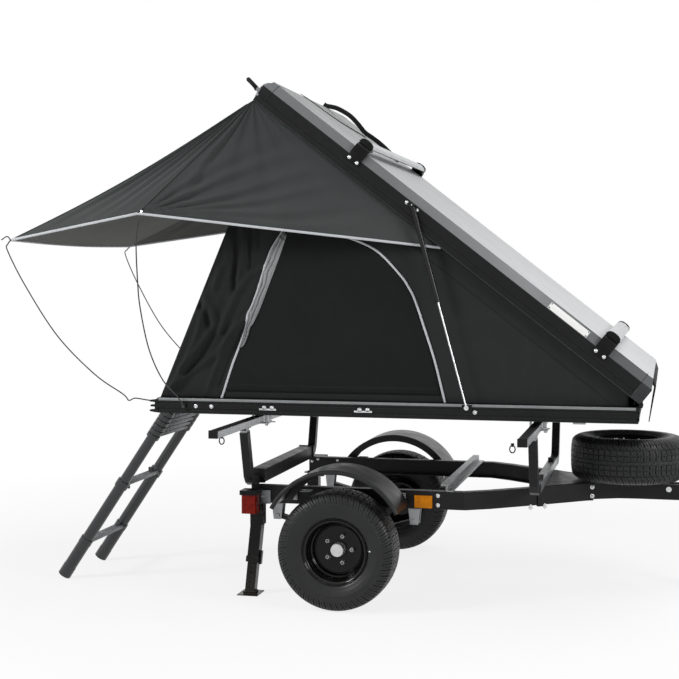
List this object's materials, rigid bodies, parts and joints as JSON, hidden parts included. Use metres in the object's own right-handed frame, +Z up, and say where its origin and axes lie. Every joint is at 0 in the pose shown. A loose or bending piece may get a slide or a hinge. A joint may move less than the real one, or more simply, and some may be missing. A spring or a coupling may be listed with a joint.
{
  "type": "off-road camping trailer with hard-shell roof tent",
  "caption": "Small off-road trailer frame with leaf springs, fenders, spare wheel and rack, carrying a clamshell roof tent standing open with its fly, rods and ladder.",
  "frame": {"origin": "middle of the bounding box in X and Y, on the ground", "axes": "+X forward to the coupler, +Y to the trailer's left, +Z up"},
  "size_m": [3.3928, 2.134, 2.3241],
  "materials": {
    "black_steel": "satin black powder coat",
    "galvanised": "zinc plated",
    "rim_black": "gloss black paint",
    "hub_metal": "bright plated",
    "tyre": "matt",
    "aluminium": "anodised",
    "black_aluminium": "textured black",
    "skin": "painted light grey sheet",
    "black_plastic": "matt",
    "red_lens": "gloss",
    "amber_lens": "gloss",
    "cloth": "matt canvas",
    "foam": "mattress cover",
    "spring_steel": "dark spring steel"
  },
  "bodies": {
    "chassis": {"side_rail_right": "black_steel", "side_rail_left": "black_steel", "drawbar_right": "black_steel", "drawbar_left": "black_steel", "rear_cross_member": "black_steel", "mid_cross_member": "galvanised", "front_cross_member": "galvanised", "posts": "black_steel", "post_brackets": "galvanised", "rear_crossbar": "aluminium", "front_crossbar": "aluminium", "bar_trim": "black_plastic", "axle": "black_steel", "leaf_springs": "black_steel", "spring_clamps": "galvanised", "spring_hangers": "galvanised", "spare_tyre": "tyre", "spare_rim": "rim_black", "spare_carrier": "black_steel", "fender_right": "black_steel", "fender_left": "black_steel", "fender_brackets": "galvanised", "tail_lamps": "black_plastic", "tail_lenses": "red_lens", "lamp_brackets": "galvanised", "side_markers": "amber_lens", "rear_jack_tubes": "black_steel", "coupler": "galvanised", "tongue_jack_tube": "galvanised", "tent_tray": "black_aluminium", "mattress": "foam", "tray_runners": "aluminium", "tray_fittings": "black_steel", "tent_walls": "cloth", "fly": "cloth", "awning_rods": "spring_steel", "ladder": "black_steel"},
    "wheel_right": {"right_tyre": "tyre", "right_rim": "rim_black", "right_hub": "hub_metal"},
    "wheel_left": {"left_tyre": "tyre", "left_rim": "rim_black", "left_hub": "hub_metal"},
    "lid": {"lid_frame": "black_aluminium", "lid_skin": "skin", "lid_bars": "aluminium", "lid_clamps": "black_plastic", "lid_fittings": "black_steel", "lid_end_plate": "aluminium"},
    "strut_barrel_right": {"strut_barrel_right": "black_steel"},
    "strut_barrel_left": {"strut_barrel_left": "black_steel"},
    "strut_rod_right": {"strut_rod_right": "galvanised"},
    "strut_rod_left": {"strut_rod_left": "galvanised"},
    "rear_leg_right": {"rear_jack_leg_right": "black_steel"},
    "rear_leg_left": {"rear_jack_leg_left": "black_steel"},
    "tongue_leg": {"tongue_jack_leg": "galvanised"},
    "caster_fork": {"tongue_caster_fork": "galvanised"},
    "caster_wheel": {"tongue_caster_wheel": "tyre"},
    "ladder_foot": {"ladder_foot_section": "black_steel"}
  },
  "joints": [
    {"name": "wheel_right_spin", "type": "hinge", "parent": "chassis", "child": "wheel_right", "pos_m": [-0.11559, -0.69, 0.2605], "axis": [0, 1, 0], "continuous": true},
    {"name": "wheel_left_spin", "type": "hinge", "parent": "chassis", "child": "wheel_left", "pos_m": [-0.11559, 0.69, 0.2605], "axis": [0, 1, 0], "continuous": true},
    {"name": "lid_hinge", "type": "hinge", "parent": "chassis", "child": "lid", "pos_m": [1.16641, 0, 0.909], "axis": [0, -1, 0], "range_deg": [0, 38], "deforming": ["tent_walls", "fly"]},
    {"name": "strut_barrel_right_hinge", "type": "hinge", "parent": "lid", "child": "strut_barrel_right", "pos_m": [0.20655, -0.692, 1.75219], "axis": [0, -1, 0], "range_deg": [0, 27.48]},
    {"name": "strut_rod_right_slide", "type": "slide", "parent": "strut_barrel_right", "child": "strut_rod_right", "axis": [-0.2639, 0, 0.9646], "range_m": [0, 0.3367]},
    {"name": "strut_barrel_left_hinge", "type": "hinge", "parent": "lid", "child": "strut_barrel_left", "pos_m": [0.20655, 0.692, 1.75219], "axis": [0, -1, 0], "range_deg": [0, 27.48]},
    {"name": "strut_rod_left_slide", "type": "slide", "parent": "strut_barrel_left", "child": "strut_rod_left", "axis": [-0.2639, 0, 0.9646], "range_m": [0, 0.3367]},
    {"name": "rear_leg_right_slide", "type": "slide", "parent": "chassis", "child": "rear_leg_right", "axis": [0.1045, 0, 0.9945], "range_m": [0, 0.12]},
    {"name": "rear_leg_left_slide", "type": "slide", "parent": "chassis", "child": "rear_leg_left", "axis": [0.1045, 0, 0.9945], "range_m": [0, 0.12]},
    {"name": "tongue_leg_slide", "type": "slide", "parent": "chassis", "child": "tongue_leg", "axis": [0, 0, 1], "range_m": [0, 0.15]},
    {"name": "caster_swivel", "type": "hinge", "parent": "tongue_leg", "child": "caster_fork", "pos_m": [1.44641, 0.112, 0.21], "axis": [0, 0, 1], "continuous": true},
    {"name": "caster_wheel_spin", "type": "hinge", "parent": "caster_fork", "child": "caster_wheel", "pos_m": [1.41241, 0.112, 0.075], "axis": [0, 1, 0], "continuous": true},
    {"name": "ladder_foot_slide", "type": "slide", "parent": "chassis", "child": "ladder_foot", "axis": [0.5584, 0, 0.8296], "range_m": [0, 0.12]}
  ],
  "couplings": [
    {"joint": "strut_barrel_right_hinge", "follows": "lid_hinge", "ratio": 0.71525},
    {"joint": "strut_rod_right_slide", "follows": "lid_hinge", "m_per_rad": 0.50461},
    {"joint": "strut_barrel_left_hinge", "follows": "lid_hinge", "ratio": 0.71525},
    {"joint": "strut_rod_left_slide", "follows": "lid_hinge", "m_per_rad": 0.50461}
  ]
}
